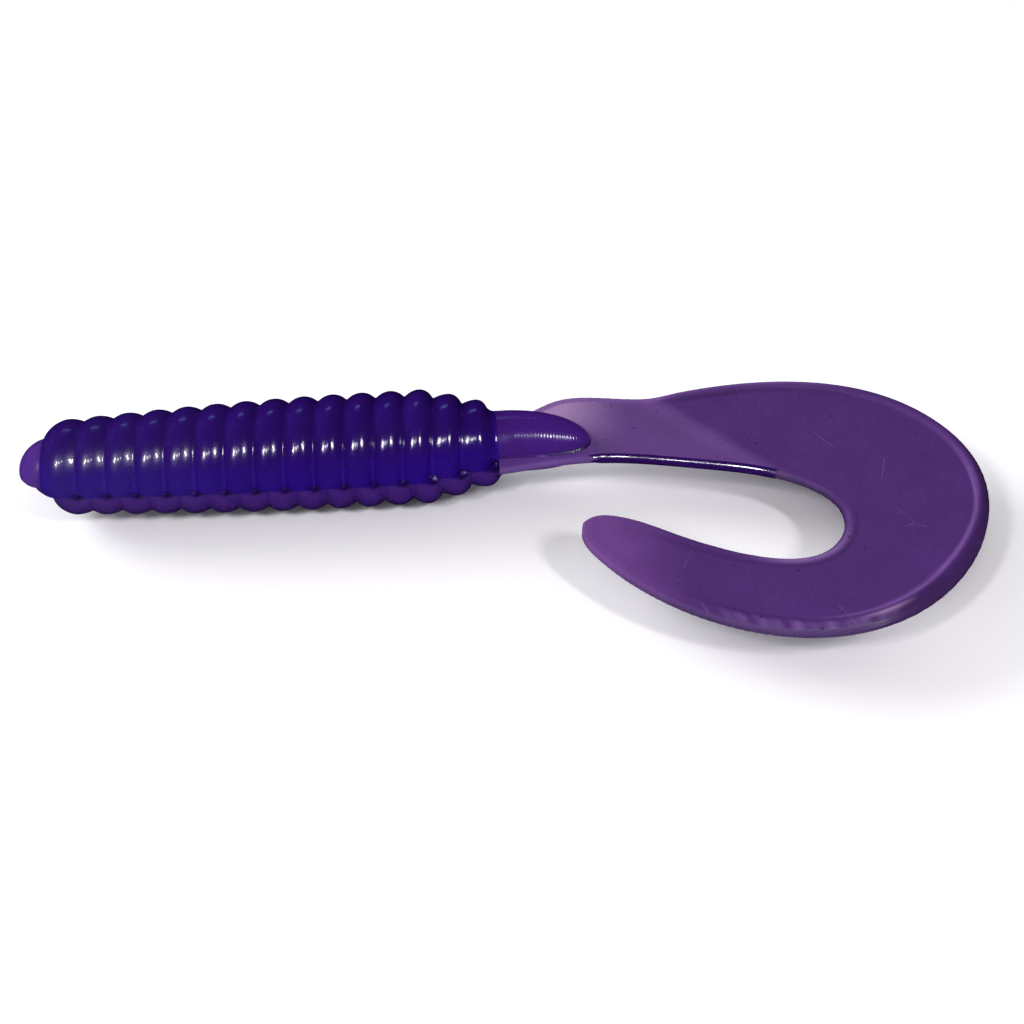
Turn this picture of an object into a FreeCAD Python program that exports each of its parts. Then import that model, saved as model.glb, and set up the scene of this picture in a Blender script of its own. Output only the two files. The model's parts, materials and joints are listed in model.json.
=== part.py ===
"""Soft plastic curly-tail worm, as a chain of moulded sections that flex at its grooves and blade lines.

The real lure is one soft moulding from a two-part mould: a round nose, fifteen rings, a bullet-shaped
stalk, and a flat blade that curls back beside itself. It bends where it is thin, so each of its regions
is a solid of its own, and the places where it flexes are hinges: four ring grooves, the stalk's neck and
five lines across the blade.

Frame: millimetres. The origin is the tip of the nose, +X runs along the body to the tail, the blade lies
in the plane Z = 0, which is the mould's parting plane, and it curls towards -Y. +Z is up.
"""

import FreeCAD
import Part

import math
import os

Vector = FreeCAD.Vector
X_AXIS = Vector(1, 0, 0)
Z_AXIS = Vector(0, 0, 1)
ORIGIN = Vector(0, 0, 0)

# Nose
nose_radius = 3.3

# Rings
ring_count = 15
ring_pitch = 3.13
first_crest_x = 5.25           # crest of the first ring, from the tip of the nose
body_radius = 6.2              # crest radius where the body is thickest
nose_end_radius = 5.15         # crest radius of the first ring
last_ring_radius = 4.75
next_to_last_radius = 5.55
thickest_ring = 11
groove_depth_front = 0.42      # crest to groove, at the first groove
groove_depth_rear = 0.72       # and at the last
shoulder_height = 0.62         # how far up its rise the first ring's front shoulder bulges, as a share
shoulder_run = 0.36            # and how far along it
rear_flank = 2.0               # last crest to the neck
mould_shift = 0.42             # the lower mould half sits this much further aft

# Grooves that flex, named by the ring in front of each
flex_after_rings = (3, 6, 9, 12)
flex_range = 12.0              # degrees each way
web_core = 0.15                # half thickness of a flex web on the body's axis
angle_spare = 0.3              # degrees left open beyond each range

# Stalk
stalk_radius = 3.4
stalk_straight = 1.27          # from the neck to where it starts to taper
stalk_taper = 9.2              # length of the tapering tongue
stalk_range = 20.0

# Blade. Its outline is given in shares of these sizes, from the neck and from its top edge down.
tail_length = 51.47
tail_height = 39.7
tail_top = 7.3                 # the outline's top edge above the body's axis
web_thickness = 0.9            # the thin web between the stalk and the fold
blade_thickness = 1.2          # the panel beyond the fold
keel_height = 1.5              # the wall along the web's lower edge
keel_width = 1.0
keel_round = 0.25              # radius of its long corners
keel_proud = 0.05              # how far it stands out from the web's edge
keel_end_share = 0.541         # where it stops, as a share of tail_length
hinge_clearance = 0.03         # half the slit left at each blade hinge's middle
hinge_overrun = 1.5            # how far a blade hinge's cut runs past the edges
swing_range = 40.0
blade_range = 35.0
swing_share = 0.235            # the swing hinge, as a share of tail_length

neck_x = first_crest_x + (ring_count - 1) * ring_pitch + rear_flank
tip_x = neck_x + tail_length

# Outer edge from the stalk round to the tip, as (share of length, share of height)
OUTER_EDGE = (
    (0.024, -0.111), (0.084, -0.071), (0.144, -0.028), (0.354, -0.040), (0.394, -0.030), (0.859, -0.098),
    (0.992, -0.353), (0.791, -0.922), (0.601, -1.000), (0.173, -0.665), (0.150, -0.577),
)
TIP = (0.156, -0.539)
# Inner edge from the tip back to the stalk
INNER_EDGE = (
    (0.177, -0.519), (0.237, -0.526), (0.327, -0.594), (0.644, -0.688), (0.674, -0.635), (0.681, -0.531),
    (0.621, -0.433), (0.553, -0.385), (0.417, -0.335), (0.193, -0.288), (0.026, -0.310),
)

# Blade hinges: each line from the inner edge to the outer one, in the same shares
BLADE_HINGES = {
    "fold": ((0.578, -0.403), (0.413, -0.025)),
    "upper": ((0.682, -0.537), (0.992, -0.431)),
    "lower": ((0.625, -0.698), (0.716, -0.962)),
    "tip": ((0.377, -0.627), (0.309, -0.872)),
}


def crest_x(ring):
    return first_crest_x + (ring - 1) * ring_pitch


def crest_radius(ring):
    """Crest radius of a ring: it swells from the nose to the thickest ring and drops at the last two."""
    if ring == ring_count:
        return last_ring_radius
    if ring == ring_count - 1:
        return next_to_last_radius
    share = min(1.0, (ring - 1) / (thickest_ring - 1))
    swell = math.sin(share * math.pi / 2)
    return nose_end_radius + (body_radius - nose_end_radius) * swell


def groove_x(ring):
    """The groove behind a ring. Ring 0's is where the nose meets the first ring."""
    if ring == 0:
        return nose_radius - 0.5
    if ring == ring_count:
        return neck_x
    return crest_x(ring) + ring_pitch / 2


def groove_radius(ring):
    if ring == 0:
        back = groove_x(0) - nose_radius
        return math.sqrt(nose_radius**2 - back**2)
    if ring == ring_count:
        return stalk_radius
    share = (ring - 1) / (ring_count - 2)
    depth = groove_depth_front + (groove_depth_rear - groove_depth_front) * share
    return (crest_radius(ring) + crest_radius(ring + 1)) / 2 - depth


def arc(*points):
    return Part.Arc(*[Vector(x, y, 0) for x, y in points]).toShape()


def line(start, end):
    return Part.LineSegment(Vector(*start, 0), Vector(*end, 0)).toShape()


def ring_edges(ring):
    """A ring's outline above the axis, from its front groove to its rear one."""
    front = (groove_x(ring - 1), groove_radius(ring - 1))
    crest = (crest_x(ring), crest_radius(ring))
    rear = (groove_x(ring), groove_radius(ring))
    if ring == 1:
        run, rise = crest[0] - front[0], crest[1] - front[1]
        shoulder = (front[0] + shoulder_run * run, front[1] + shoulder_height * rise)
        return [arc(front, shoulder, crest), arc(*lobe_half(crest, rear))]
    if ring == ring_count:
        return [arc(*lobe_half(crest, front)[::-1]), arc(*lobe_half(crest, rear))]
    return [arc(front, crest, rear)]


def lobe_half(crest, groove):
    """Half a ring's lobe: an arc that is level at the crest and ends in the groove."""
    run, drop = groove[0] - crest[0], crest[1] - groove[1]
    radius = (run**2 + drop**2) / (2 * drop)
    middle = math.asin(min(1.0, abs(run) / radius)) / 2
    if drop > abs(run):
        middle = (math.pi - math.asin(abs(run) / radius)) / 2
    side = math.copysign(radius * math.sin(middle), run)
    return crest, (crest[0] + side, crest[1] - radius * (1 - math.cos(middle))), groove


def half_body(turn, shift):
    """The rings' half that the profile sweeps when it turns by that angle about the body's axis."""
    edges = [line((groove_x(0), 0), (groove_x(0), groove_radius(0)))]
    for ring in range(1, ring_count + 1):
        edges += ring_edges(ring)
    edges.append(line((neck_x, stalk_radius), (neck_x, 0)))
    edges.append(line((neck_x, 0), (groove_x(0), 0)))
    half = Part.Face(Part.Wire(edges)).revolve(ORIGIN, X_AXIS, turn)
    half.translate(Vector(shift, 0, 0))
    return half


def slab(start, end, upper):
    """A box over one half of the body, between two planes across it."""
    size = 3 * body_radius
    box = Part.makeBox(end - start, size, size / 2, Vector(start, -size / 2, 0 if upper else -size / 2))
    return box


def flex_lens(x, radius, reach):
    """The space that a flexing groove needs: a disc that widens from its core to its rim."""
    rim = radius * 1.3
    half = web_core + rim * math.tan(math.radians(reach / 2 + angle_spare))
    edges = [
        line((x - web_core, 0), (x - half, rim)),
        line((x - half, rim), (x + half, rim)),
        line((x + half, rim), (x + web_core, 0)),
        line((x + web_core, 0), (x - web_core, 0)),
    ]
    return Part.Face(Part.Wire(edges)).revolve(ORIGIN, X_AXIS, 360)


def lenses():
    found = {ring: flex_lens(groove_x(ring), body_radius, flex_range) for ring in flex_after_rings}
    found[ring_count] = flex_lens(neck_x, stalk_radius, stalk_range)
    return found


def one_solid(shape):
    """The shape with faces on one surface joined. It has to be a single closed solid."""
    shape = shape.removeSplitter()
    if len(shape.Solids) != 1:
        raise ValueError(f"expected one solid and got {len(shape.Solids)}")
    return shape.Solids[0]


def make_nose():
    ball = Part.makeSphere(nose_radius, Vector(nose_radius, 0, 0))
    size = 4 * nose_radius
    behind = Part.makeBox(size, size, size, Vector(groove_x(0), -size / 2, -size / 2))
    return one_solid(ball.cut(behind))


def make_rings(upper, lower, gaps):
    """Each ring: its upper half, and its lower half, which the mould shift sets further aft."""
    made = {}
    for ring in range(1, ring_count + 1):
        start, end = groove_x(ring - 1), groove_x(ring)
        front_steps = ring > 1 and ring - 1 not in gaps
        rear_steps = ring not in gaps
        low_start = start + mould_shift if front_steps else start
        low_end = end + mould_shift if rear_steps else end
        top = upper.common(slab(start, end, True))
        bottom = lower.common(slab(low_start, low_end, False))
        solid = top.fuse(bottom)
        if ring == 1:
            solid = solid.fuse(shoulder_fill(lower))
        for neighbour in (ring - 1, ring):
            if neighbour in gaps:
                solid = solid.cut(gaps[neighbour])
        made[f"ring_{ring:02d}"] = one_solid(solid)
    return made


def shoulder_fill(lower):
    """The short neck of the nose that the lower half leaves open ahead of the first ring."""
    neck = Part.makeCylinder(groove_radius(0), mould_shift, Vector(groove_x(0), 0, 0), X_AXIS)
    return neck.common(slab(groove_x(0), groove_x(0) + mould_shift, False))


def make_stalk():
    """The tapering tongue that carries the blade, cut back at the neck so that it can bend."""
    straight_end = neck_x + stalk_straight
    taper = Part.Ellipse(Vector(straight_end, 0, 0), stalk_taper, stalk_radius)
    edges = [
        line((neck_x, 0), (neck_x, stalk_radius)),
        line((neck_x, stalk_radius), (straight_end, stalk_radius)),
        Part.ArcOfEllipse(taper, 0, math.pi / 2).toShape(),
        line((straight_end + stalk_taper, 0), (neck_x, 0)),
    ]
    return Part.Face(Part.Wire(Part.__sortEdges__(edges))).revolve(ORIGIN, X_AXIS, 360)


def tail_point(share):
    """A point of the blade from its shares of the tail's length and height."""
    return Vector(neck_x + share[0] * tail_length, tail_top + share[1] * tail_height, 0)


def edge_curve(shares):
    curve = Part.BSplineCurve()
    curve.interpolate([tail_point(share) for share in shares])
    return curve


def blade_outline():
    outer, inner = edge_curve(OUTER_EDGE), edge_curve(INNER_EDGE)
    tip = Part.Arc(tail_point(OUTER_EDGE[-1]), tail_point(TIP), tail_point(INNER_EDGE[0]))
    root = Part.LineSegment(tail_point(INNER_EDGE[-1]), tail_point(OUTER_EDGE[0]))
    return Part.Wire([outer.toShape(), tip.toShape(), inner.toShape(), root.toShape()])


def plate(thickness):
    face = Part.Face(blade_outline())
    solid = face.extrude(Vector(0, 0, thickness))
    solid.translate(Vector(0, 0, -thickness / 2))
    return solid


def hinge_slit(start, end, reach):
    """A slit along a blade hinge, narrow at mid-thickness and open above and below for the range."""
    along = (end - start).normalize()
    across = Z_AXIS.cross(along)
    wide = hinge_clearance + keel_height * math.tan(math.radians(reach / 2 + angle_spare))
    section = [(hinge_clearance, 0), (wide, keel_height), (-wide, keel_height), (-hinge_clearance, 0),
               (-wide, -keel_height), (wide, -keel_height)]
    foot = start - along * hinge_overrun
    corners = [foot + across * a + Z_AXIS * z for a, z in section]
    face = Part.Face(Part.makePolygon(corners + corners[:1]))
    return face.extrude(end - start + along * 2 * hinge_overrun)


def swing_line():
    """The swing hinge runs straight across the web, just past the stalk's tip."""
    x = neck_x + swing_share * tail_length
    return Vector(x, tail_top - 0.33 * tail_height, 0), Vector(x, tail_top, 0)


def blade_line(name):
    start, end = BLADE_HINGES[name]
    return tail_point(start), tail_point(end)


def nearest(solids, share):
    """The solid whose middle is nearest to a point of the blade."""
    return min(solids, key=lambda solid: solid.CenterOfMass.distanceToPoint(tail_point(share)))


def keel_section(corner, tangent):
    """The keel's outline across its length: a bar with rounded long corners, its outer face at the corner."""
    inward = tangent.cross(Z_AXIS).normalize()
    half, cut = keel_height / 2, keel_round
    outer, inner = -keel_proud, keel_width
    bow = cut * (1 - math.sqrt(0.5))

    def at(across, up):
        return corner + inward * across + Z_AXIS * up

    stops = []
    for across, up, turn in ((outer, -1, 1), (inner, -1, -1), (inner, 1, -1), (outer, 1, 1)):
        side = at(across, up * (half - cut))
        middle = at(across + turn * bow, up * (half - bow))
        level = at(across + turn * cut, up * half)
        stops.append((side, middle, level) if (across == outer) == (up < 0) else (level, middle, side))
    edges = []
    for index, (first, middle, last) in enumerate(stops):
        edges.append(Part.Arc(first, middle, last).toShape())
        edges.append(Part.LineSegment(last, stops[(index + 1) % len(stops)][0]).toShape())
    return Part.Wire(edges)


def make_keel():
    """The thick wall along the web's lower edge. It stops square just before the fold."""
    curve = edge_curve(INNER_EDGE)
    start_x = swing_line()[0].x + keel_height / 2 * math.tan(math.radians(swing_range)) + hinge_clearance
    end_x = neck_x + keel_end_share * tail_length
    floor = tail_top - 0.42 * tail_height
    ends = [curve.intersect(Part.LineSegment(Vector(x, 0, 0), Vector(x, floor, 0)))[0] for x in (end_x, start_x)]
    first, last = [curve.parameter(Vector(p.X, p.Y, p.Z)) for p in ends]
    spine = Part.Wire([curve.toShape(first, last)])
    section = keel_section(curve.value(first), curve.tangent(first)[0])
    return one_solid(spine.makePipeShell([section], True, False))


def make_blade(stalk):
    """The web, on both sides of the swing hinge, its keel, and the panel in four lengths."""
    keel = make_keel()
    swing = hinge_slit(*swing_line(), swing_range)
    slits = [hinge_slit(*blade_line(name), blade_range) for name in BLADE_HINGES]
    thin = plate(web_thickness).cut([swing, slits[0]]).Solids
    thick = plate(blade_thickness).cut(slits).Solids
    return {
        "stalk_web": one_solid(nearest(thin, (0.12, -0.16)).cut(stalk)),
        "root_web": one_solid(nearest(thin, (0.40, -0.19)).cut(keel)),
        "keel": keel,
        "blade_upper": nearest(thick, (0.69, -0.22)),
        "blade_bend": nearest(thick, (0.85, -0.50)),
        "blade_lower": nearest(thick, (0.58, -0.84)),
        "blade_tip": nearest(thick, (0.28, -0.66)),
    }


def make_parts():
    gaps = lenses()
    upper, lower = half_body(180, 0), half_body(-180, mould_shift)
    parts = {"nose": make_nose()}
    parts.update(make_rings(upper, lower, gaps))
    both = upper.fuse(lower)
    for number, ring in enumerate(flex_after_rings, start=1):
        parts[f"flex_web_{number}"] = one_solid(both.common(gaps[ring]))
    stalk = make_stalk()
    neck = both.common(slab(neck_x - ring_pitch, neck_x, True))
    neck = neck.fuse(both.common(slab(neck_x - ring_pitch, neck_x, False))).fuse(stalk)
    parts["neck_web"] = one_solid(neck.common(gaps[ring_count]))
    parts["tail_stalk"] = one_solid(stalk.cut(gaps[ring_count]))
    parts.update(make_blade(stalk))
    return parts


def main():
    os.makedirs("parts", exist_ok=True)
    for name, solid in make_parts().items():
        if not solid.isValid():
            raise ValueError(f"{name} isn't a valid solid")
        solid.exportStep(f"parts/{name}.step")


main()
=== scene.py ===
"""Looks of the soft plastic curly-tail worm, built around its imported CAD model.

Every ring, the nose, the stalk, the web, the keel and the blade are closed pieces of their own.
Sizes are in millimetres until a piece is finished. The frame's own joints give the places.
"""

import json
import math

import bmesh
import bpy
import numpy as np
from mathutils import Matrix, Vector


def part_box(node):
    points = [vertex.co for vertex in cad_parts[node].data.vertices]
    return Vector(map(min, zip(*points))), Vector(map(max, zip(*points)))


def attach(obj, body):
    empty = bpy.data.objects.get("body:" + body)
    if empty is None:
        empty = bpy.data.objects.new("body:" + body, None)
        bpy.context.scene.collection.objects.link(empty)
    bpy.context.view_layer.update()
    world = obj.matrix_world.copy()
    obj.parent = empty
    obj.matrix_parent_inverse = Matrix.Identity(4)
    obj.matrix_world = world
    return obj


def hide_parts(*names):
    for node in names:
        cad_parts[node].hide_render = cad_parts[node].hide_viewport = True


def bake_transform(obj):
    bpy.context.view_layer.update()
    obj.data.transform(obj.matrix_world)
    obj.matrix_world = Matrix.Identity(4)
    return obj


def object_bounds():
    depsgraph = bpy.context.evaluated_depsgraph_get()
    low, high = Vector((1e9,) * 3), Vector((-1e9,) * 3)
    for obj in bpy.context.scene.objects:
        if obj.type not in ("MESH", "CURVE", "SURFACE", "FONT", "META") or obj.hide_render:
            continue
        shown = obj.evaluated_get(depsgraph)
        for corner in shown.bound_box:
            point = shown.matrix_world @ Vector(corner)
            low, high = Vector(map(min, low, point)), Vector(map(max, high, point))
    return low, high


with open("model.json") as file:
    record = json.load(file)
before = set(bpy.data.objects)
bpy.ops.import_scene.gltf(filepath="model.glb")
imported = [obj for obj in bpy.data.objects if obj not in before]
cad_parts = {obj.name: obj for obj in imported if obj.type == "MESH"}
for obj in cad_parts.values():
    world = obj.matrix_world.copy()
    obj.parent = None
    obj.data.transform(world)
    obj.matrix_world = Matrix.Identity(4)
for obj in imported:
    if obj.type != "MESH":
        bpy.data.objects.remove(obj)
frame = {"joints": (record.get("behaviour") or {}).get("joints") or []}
cad_box = [list(corner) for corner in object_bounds()]

MM = 0.001
joints = {joint["name"]: joint for joint in frame["joints"]}


def joint_place(name):
    """A joint's point in the frame, in millimetres."""
    return np.array(joints[name]["pos_m"]) / MM


# ---------------------------------------------------------------- sizes
RINGS = 15
# front_bend lies in the groove behind the third ring, and aft_lift nine rings further back
PITCH = (joint_place("aft_lift")[0] - joint_place("front_bend")[0]) / 9
FIRST_CREST = joint_place("front_bend")[0] - 2.5 * PITCH
NECK = joint_place("stalk_bend")[0]
BODY_RADIUS = 6.2
NOSE_END_RADIUS = 5.15
NEXT_TO_LAST_RADIUS = 5.55
LAST_RADIUS = 4.75
THICKEST_RING = 11
GROOVE_DEPTH = (0.42, 0.72)       # at the first groove and at the last
NOSE_RADIUS = 3.3
STALK_RADIUS = 3.4
MOULD_SHIFT = 1.05                # the lower mould half sits this much further aft
# The rings' near side sits forward by this share of its distance from the axis, at the front and at the rear
RING_LEAN = (0.12, 0.08)
LEAN_FADE = 3.0                   # the lean dies out over this length before the neck
VALLEY_ROUND = 0.10               # how soft the bottom of a groove is
FRONT_BLUNT = 1.7                 # power that shapes the first ring's front; 2 would make it an ellipse
# Painted shadow under the step between the mould halves lies here, counted back from a groove, and fades over
# a length
LEDGE_BEHIND = -0.35
LEDGE_LONG = 0.6
PARTING_GAP = 0.2                 # degrees to each side of the parting plane where close rows of faces lie
REAR_SHOULDER = 1.35              # the two radii of the last ring's rear flank
REAR_HOLLOW = 1.05
# Small flaws in the casting: (place along from the crest, angle up from the near side, width, depth)
DENTS = {
    7: ((0.3, 24, 0.35, 0.10), (0.75, 27, 0.2, 0.06)), 8: ((0.4, 23, 0.4, 0.13), (-0.2, 20, 0.25, 0.07)),
    9: ((0.5, 22, 0.45, 0.15), (0.1, 25, 0.25, 0.08), (0.2, -12, 0.3, 0.16)), 10: ((0.1, -13, 0.28, 0.14),),
    14: ((-0.4, 27, 0.35, 0.10), (0.3, 22, 0.25, 0.07)), 15: ((-0.5, -6, 0.33, 0.18), (-0.9, 16, 0.3, 0.08)),
}
GROOVE_LIGHT_REACH = 0.16                # painted light lines in the grooves reach this far out from a groove
PARTING_STEP = 0.012              # half the height over which one mould half gives way to the other

LOBE_ROWS = 26
ROW_CROWD = 1.25                  # power that brings the rows closer together in a groove
TURN_STEPS = 74                   # round each half of the body

STALK_END = 61.5
STALK_STRAIGHT = 52.3             # the stalk narrows from here to its end
STALK_LEAN = 1.0                  # how far the stalk's tip leans towards the inner edge
STALK_BLUNT = 2.25                # power that shapes the stalk's end; 2 would make it an ellipse
STALK_ROWS = 190                  # close enough together to show the ribs
STALK_CROWD = 1.5                 # power that brings the rows closer together towards the stalk's tip
STALK_BOW = 1.5                   # power by which its lean grows along it
RIB_PITCH = 0.33                  # fine cross ribs that the mould left on the stalk
RIB_HEIGHT = 0.009
FOOT_FLARE = 0.22                 # the cove where the stalk runs onto the web
FOOT_RISE = 0.4
FOOT_SHADE_HEIGHT = 0.85                  # shade is painted on the stalk below this height, where it meets the web
STALK_NARROW = 0.07               # the stalk is a little narrower towards the inner edge

WEB_HALF = 0.42                   # half thickness of the web beside the stalk
BLADE_HALF = 0.50                 # and of the blade beyond the diagonal
# Each bead as (distance in from the edge, height above the panel)
OUTER_BEAD = (
    (0.0, -0.12), (0.25, 0.06), (0.7, 0.28), (1.2, 0.38), (1.6, 0.30), (1.95, 0.10), (2.25, 0.0), (2.8, 0.0))
INNER_BEAD = ((0.0, -0.16), (0.2, 0.0), (0.55, 0.13), (0.9, 0.09), (1.25, -0.02), (1.7, 0.0), (2.2, 0.0))
EDGE_ROUND = 0.45                 # the edge is rounded this far in
EDGE_HALF = 0.16                  # half height of the plain wall at the blade's very edge
DIAGONAL_SOFT = 1.6               # width over which the panel's step rises

KEEL_HALF_HEIGHT = 0.66
KEEL_HALF_WIDTH = 0.60
KEEL_START = 60.2
KEEL_SEAM = 67.0
KEEL_END = 80.4
KEEL_FLAT = 1.5                   # power that flattens the bar's four flanks; 1 would make it round
KEEL_PROUD = 0.16                 # where the bar is full it stands out past the web's edge by this much
KEEL_SIDES = 32
KEEL_RISE = (0.45, 2.5)           # the bar's share of its size at its front end, and the length it grows over


# ---------------------------------------------------------------- small tools
def piece_from(bm, name, sharp_angle=38):
    """Makes the finished mesh piece from a bmesh in millimetres. "rest" keeps each point's place unbent."""
    bmesh.ops.scale(bm, verts=bm.verts, vec=(MM, MM, MM))
    bmesh.ops.recalc_face_normals(bm, faces=bm.faces)
    mesh = bpy.data.meshes.new(name)
    bm.to_mesh(mesh)
    bm.free()
    mesh.shade_smooth()
    mesh.set_sharp_from_angle(angle=math.radians(sharp_angle))
    piece = bpy.data.objects.new(name, mesh)
    store(piece, "rest", [value for vert in mesh.vertices for value in vert.co], "FLOAT_VECTOR", "vector")
    bpy.context.scene.collection.objects.link(piece)
    return piece


def smooth(share):
    """Eases from 0 to 1, level at both ends and beyond them."""
    share = np.clip(share, 0, 1)
    return share * share * (3 - 2 * share)


def rising(value, start, run):
    """0 up to start, then 1 once value is run beyond it."""
    return smooth((value - start) / run)


def falling(value, end, run):
    """0 beyond end, and 1 where value is run or more short of it."""
    return smooth((end - value) / run)


def ridge(value, middle, half):
    """1 at the middle, 0 where value is half or more away."""
    return smooth(1 - np.abs(value - middle) / half)


def blunt(share, power):
    """How wide a rounded end still is at a share of its length: 1 where it starts, 0 at its tip."""
    return (1 - share**power) ** (1 / power)


def store(piece, name, values, kind="FLOAT", field="value"):
    """Keeps one value for each point of a piece."""
    piece.data.attributes.new(name, kind, "POINT").data.foreach_set(field, values)


# ---------------------------------------------------------------- the ringed body
def crest_x(ring):
    return FIRST_CREST + (ring - 1) * PITCH


def crest_radius(ring):
    """The body swells to its thickest ring, and its last two rings are smaller."""
    if ring == RINGS:
        return LAST_RADIUS
    if ring == RINGS - 1:
        return NEXT_TO_LAST_RADIUS
    share = min(1.0, (ring - 1) / (THICKEST_RING - 1))
    return NOSE_END_RADIUS + (BODY_RADIUS - NOSE_END_RADIUS) * math.sin(share * math.pi / 2)


def groove_x(ring):
    """Where the groove behind a ring is; 0 is the one behind the nose."""
    if ring == 0:
        return NOSE_RADIUS - 0.5
    return NECK if ring == RINGS else (crest_x(ring) + crest_x(ring + 1)) / 2


def groove_radius(ring):
    if ring == 0:
        return math.sqrt(NOSE_RADIUS**2 - (groove_x(0) - NOSE_RADIUS) ** 2)
    if ring == RINGS:
        return STALK_RADIUS
    share = (ring - 1) / (RINGS - 2)
    depth = GROOVE_DEPTH[0] + (GROOVE_DEPTH[1] - GROOVE_DEPTH[0]) * share
    return (crest_radius(ring) + crest_radius(ring + 1)) / 2 - depth


def lobe_side(ring, groove):
    """Points of half a lobe, crest to groove: an arc that is level at the crest and soft in the groove."""
    run = groove_x(groove) - crest_x(ring)
    side, run = math.copysign(1, run), abs(run)
    drop = crest_radius(ring) - groove_radius(groove)
    if ring == 1 and groove == 0:
        shares = np.linspace(0, 1, LOBE_ROWS + 8) ** 0.8
        return [(crest_x(1) - run * s, groove_radius(0) + drop * blunt(s, FRONT_BLUNT)) for s in shares]
    if ring == RINGS and groove == RINGS:
        return rear_flank(run, drop)
    radius = (run**2 + drop**2) / (2 * drop)
    full = math.hypot(run, VALLEY_ROUND) - VALLEY_ROUND
    points = []
    for share in np.linspace(0, 1, LOBE_ROWS // 2 + 1):
        from_valley = run * (1 - share) ** ROW_CROWD
        soft = (math.hypot(from_valley, VALLEY_ROUND) - VALLEY_ROUND) * run / full
        from_crest = run - soft
        height = math.sqrt(radius**2 - from_crest**2) - radius
        points.append((crest_x(ring) + side * (run - from_valley), crest_radius(ring) + height))
    return points


def rear_flank(run, drop):
    """The last ring's rear: a round shoulder, then a hollow that runs out on the stalk."""
    shoulder, hollow = REAR_SHOULDER, REAR_HOLLOW
    rise = hollow + shoulder - drop
    reach = math.sqrt((shoulder + hollow) ** 2 - rise**2)
    tilt = math.atan2(rise, reach)
    x, r = crest_x(RINGS), crest_radius(RINGS)
    points = [(x + shoulder * math.sin(a), r - shoulder * (1 - math.cos(a)))
              for a in np.linspace(0, math.pi / 2 - tilt, 16)]
    for a in np.linspace(math.pi / 2 - tilt, 0, 10)[1:]:
        points.append((x + reach - hollow * math.sin(a), r - drop + hollow * (1 - math.cos(a))))
    return points + [(x + run, r - drop)]


def turned(bm, profile):
    """Spins a profile of (x, radius) round the body's axis, with two close rows where the mould parts."""
    across, up = math.cos(math.radians(-PARTING_GAP)), math.sin(math.radians(-PARTING_GAP))
    start = [bm.verts.new((x, r * across, r * up)) for x, r in profile]
    geom = start + [bm.edges.new(pair) for pair in zip(start, start[1:])]
    half_turn = ((2 * PARTING_GAP, 1), (180 - 2 * PARTING_GAP, TURN_STEPS))
    for angle, steps in half_turn + half_turn:
        made = bmesh.ops.spin(
            bm, geom=geom, axis=(1, 0, 0), cent=(0, 0, 0), angle=math.radians(angle), steps=steps)
        geom = made["geom_last"]
    bmesh.ops.remove_doubles(bm, verts=bm.verts, dist=1e-4)


def part_the_mould(bm):
    """Leans the rings, and sets what the lower mould half made further aft than what the upper one made."""
    for vert in bm.verts:
        lean = RING_LEAN[0] + (RING_LEAN[1] - RING_LEAN[0]) * vert.co.x / NECK
        vert.co.x += lean * vert.co.y * float(falling(vert.co.x, NECK, LEAN_FADE))
        share = falling(vert.co.z, PARTING_STEP, 2 * PARTING_STEP)
        if vert.co.yz.length > 1e-3:
            vert.co.x += MOULD_SHIFT * share
        else:
            vert.co.x += MOULD_SHIFT / 2


def push_dent(bm, x, turn, wide, deep):
    """Presses a small round dent into a ring; turn is the angle up from the side that faces -Y."""
    way = Vector((0, -math.cos(math.radians(turn)), math.sin(math.radians(turn))))
    for vert in bm.verts:
        out = Vector((0, vert.co.y, vert.co.z))
        if out.length < 3 or out.normalized().dot(way) < 0.9:
            continue
        gap = math.hypot(vert.co.x - x, (out.normalized() - way).length * out.length)
        push = max(0.0, 1 - (gap / wide) ** 2) ** 2
        lip = math.exp(-((gap - wide) / (wide * 0.4)) ** 2)
        vert.co -= out.normalized() * (deep * push - deep * 0.3 * lip)


def make_ring(ring):
    front = lobe_side(ring, ring - 1)[::-1]
    profile = [(front[0][0], 0)] + front + lobe_side(ring, ring)[1:]
    profile.append((profile[-1][0], 0))
    bm = bmesh.new()
    turned(bm, profile)
    ends = (groove_x(ring - 1), groove_x(ring))
    near_groove = [min(abs(vert.co.x - end) for end in ends) for vert in bm.verts]
    part_the_mould(bm)
    for place, turn, wide, deep in DENTS.get(ring, ()):
        push_dent(bm, crest_x(ring) + place, turn, wide, deep)
    # Where shadow is painted under the step between the mould halves
    ledge_shadows = [math.exp(-min(abs(vert.co.x - end - LEDGE_BEHIND) for end in ends) ** 2 / LEDGE_LONG**2)
              for vert in bm.verts]
    piece = piece_from(bm, f"ring_{ring:02d}_skin")
    store(piece, "groove", [math.exp(-(gap / GROOVE_LIGHT_REACH) ** 2) for gap in near_groove])
    store(piece, "ledge_shadow", ledge_shadows)
    return piece


def make_nose():
    end = groove_x(0)
    stop = math.acos((NOSE_RADIUS - end) / NOSE_RADIUS)
    profile = [(NOSE_RADIUS * (1 - math.cos(a)), NOSE_RADIUS * math.sin(a)) for a in np.linspace(0, stop, 30)]
    profile.append((end, 0))
    bm = bmesh.new()
    turned(bm, profile)
    part_the_mould(bm)
    return piece_from(bm, "nose_skin")


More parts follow.
